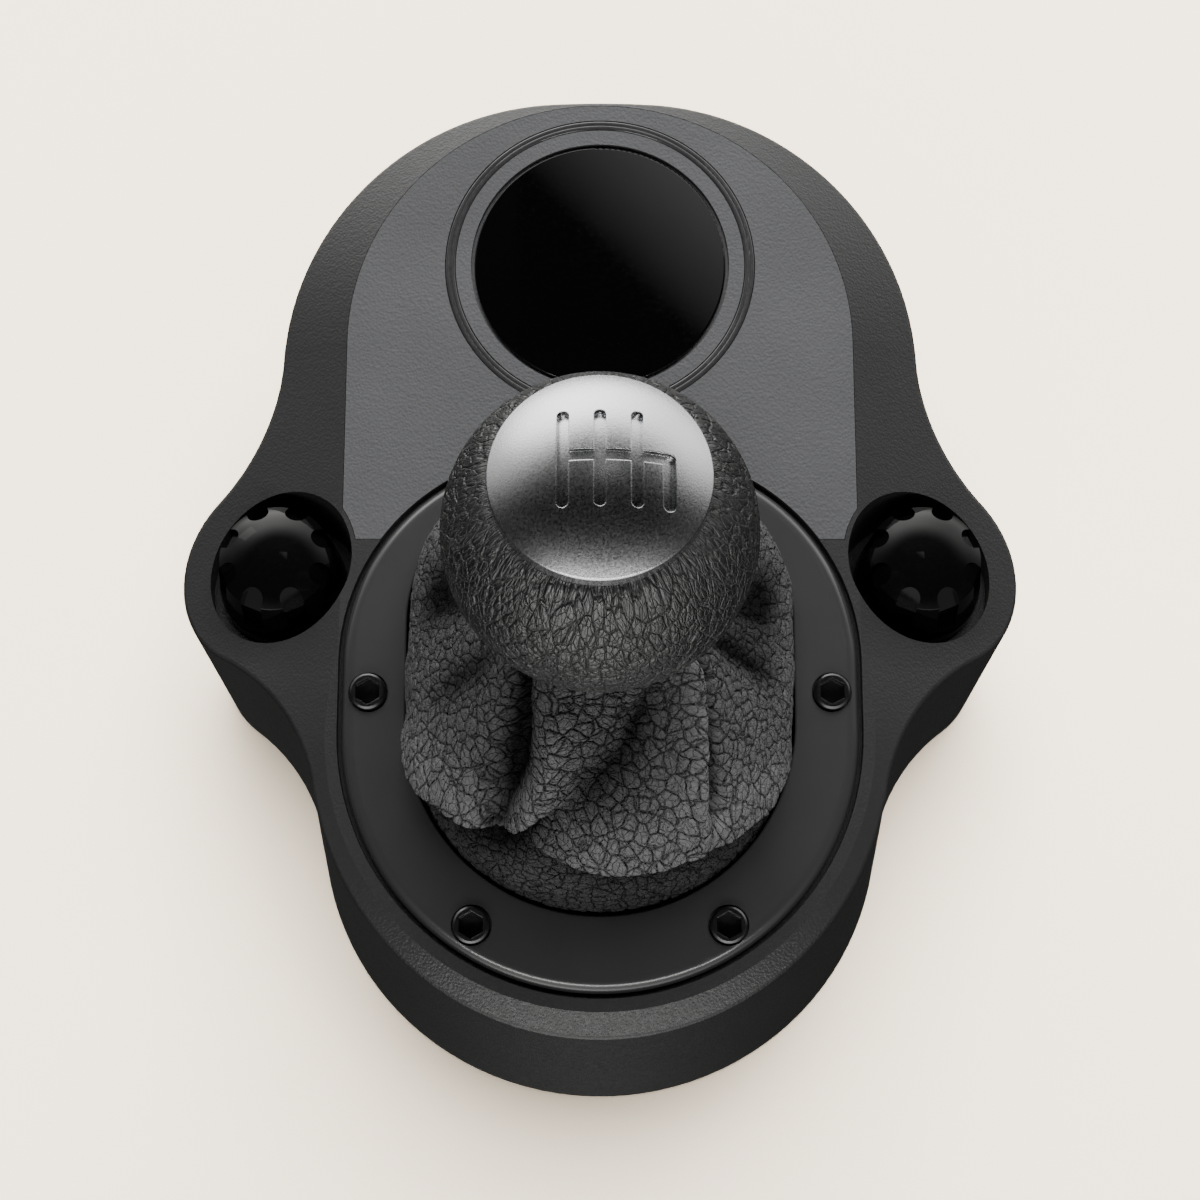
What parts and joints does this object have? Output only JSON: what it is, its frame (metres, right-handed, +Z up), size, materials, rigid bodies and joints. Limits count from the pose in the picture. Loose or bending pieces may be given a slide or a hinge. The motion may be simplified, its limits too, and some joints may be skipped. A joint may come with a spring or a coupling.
{
  "type": "sim racing gear shifter",
  "caption": "Desk gear shifter for driving games: ball knob on a lever in a leather boot, sloping housing, round emblem, and a clamp knob on each side.",
  "frame": {"origin": "middle of the bounding box's footprint, on the surface that the feet stand on", "axes": "+X to the driver's right, +Y away from the driver, +Z up"},
  "size_m": [0.1924, 0.2145, 0.195],
  "materials": {
    "housing_plastic": "fine grained",
    "panel_plastic": "fine grained",
    "lens_gloss": "glossy",
    "bezel_plastic": "satin",
    "screw_steel": "satin",
    "boot_leather": "creased",
    "knob_wrap": "pebbled",
    "cap_metal": "brushed",
    "ferrule_plastic": "matte",
    "clamp_gloss": "glossy",
    "clamp_plastic": "matte",
    "foot_rubber": "matte",
    "frame_steel": "satin",
    "bare_steel": "satin",
    "cast_zinc": "satin",
    "bearing_plastic": "matte",
    "insert_brass": "satin",
    "sensor_plastic": "matte",
    "switch_plastic": "matte",
    "board_green": "satin"
  },
  "bodies": {
    "base": {"top_housing": "housing_plastic", "top_panel": "panel_plastic", "emblem_lens": "lens_gloss", "emblem_ring": "panel_plastic", "emblem_bead": "lens_gloss", "boot_bezel": "bezel_plastic", "bezel_screws": "screw_steel", "boot_retainer": "clamp_plastic", "boot": "boot_leather", "bottom_cover": "clamp_plastic", "rubber_feet": "foot_rubber", "housing_screws": "screw_steel", "threaded_inserts": "insert_brass", "cable_grommet": "foot_rubber", "mechanism_frame": "frame_steel", "frame_screws": "screw_steel", "gate_plate": "frame_steel", "gate_screws": "screw_steel", "rocker_bushings": "bearing_plastic", "detent_spring": "bare_steel", "fore_aft_sensor": "sensor_plastic", "circuit_board": "board_green", "board_parts": "switch_plastic", "board_screws": "screw_steel", "clamp_bushings": "bearing_plastic"},
    "rocker": {"gimbal_ring": "cast_zinc", "detent_sector": "bearing_plastic", "side_sensor": "sensor_plastic", "centering_spring": "bare_steel"},
    "hub": {"lever_hub": "cast_zinc", "hub_pins": "bare_steel", "centering_arm": "bare_steel", "reverse_switch": "switch_plastic", "return_spring": "bare_steel"},
    "lever": {"lever_rod": "bare_steel", "spring_seat": "bare_steel", "retaining_clip": "bare_steel", "knob_core": "ferrule_plastic", "knob_leather": "knob_wrap", "knob_cap": "cap_metal", "knob_ferrule": "ferrule_plastic", "knob_lock_nut": "bare_steel"},
    "left_knob": {"left_clamp_knob": "clamp_gloss", "left_clamp_screw": "bare_steel", "left_clamp_clip": "bare_steel"},
    "left_jaw": {"left_clamp_jaw": "clamp_plastic", "left_jaw_nut": "bare_steel", "left_jaw_pad": "foot_rubber"},
    "right_knob": {"right_clamp_knob": "clamp_gloss", "right_clamp_screw": "bare_steel", "right_clamp_clip": "bare_steel"},
    "right_jaw": {"right_clamp_jaw": "clamp_plastic", "right_jaw_nut": "bare_steel", "right_jaw_pad": "foot_rubber"}
  },
  "joints": [
    {"name": "lever_fore_aft", "type": "hinge", "parent": "base", "child": "rocker", "pos_m": [0, -0.036, 0.021], "axis": [1, 0, 0], "range_deg": [-12, 12], "deforming": ["detent_spring", "boot"]},
    {"name": "lever_side", "type": "hinge", "parent": "rocker", "child": "hub", "pos_m": [0, -0.036, 0.021], "axis": [0, 1, 0], "range_deg": [-12, 12], "stiffness_Nm_per_rad": 1, "deforming": ["centering_spring", "boot"]},
    {"name": "lever_push", "type": "slide", "parent": "hub", "child": "lever", "axis": [0, 0, -1], "range_m": [0, 0.005], "stiffness_N_per_m": 800, "springref_m": -0.01, "deforming": ["return_spring", "boot"]},
    {"name": "left_knob_turn", "type": "hinge", "parent": "base", "child": "left_knob", "pos_m": [-0.0728, 0, 0.065], "axis": [0, 0, 1], "range_deg": [0, 3600]},
    {"name": "left_jaw_slide", "type": "slide", "parent": "base", "child": "left_jaw", "axis": [0, 0, -1], "range_m": [0, 0.04]},
    {"name": "right_knob_turn", "type": "hinge", "parent": "base", "child": "right_knob", "pos_m": [0.0728, 0, 0.065], "axis": [0, 0, 1], "range_deg": [0, 3600]},
    {"name": "right_jaw_slide", "type": "slide", "parent": "base", "child": "right_jaw", "axis": [0, 0, -1], "range_m": [0, 0.04]}
  ],
  "couplings": [
    {"joint": "left_knob_turn", "follows": "left_jaw_slide", "rad_per_m": 1570.8},
    {"joint": "right_knob_turn", "follows": "right_jaw_slide", "rad_per_m": 1570.8}
  ]
}
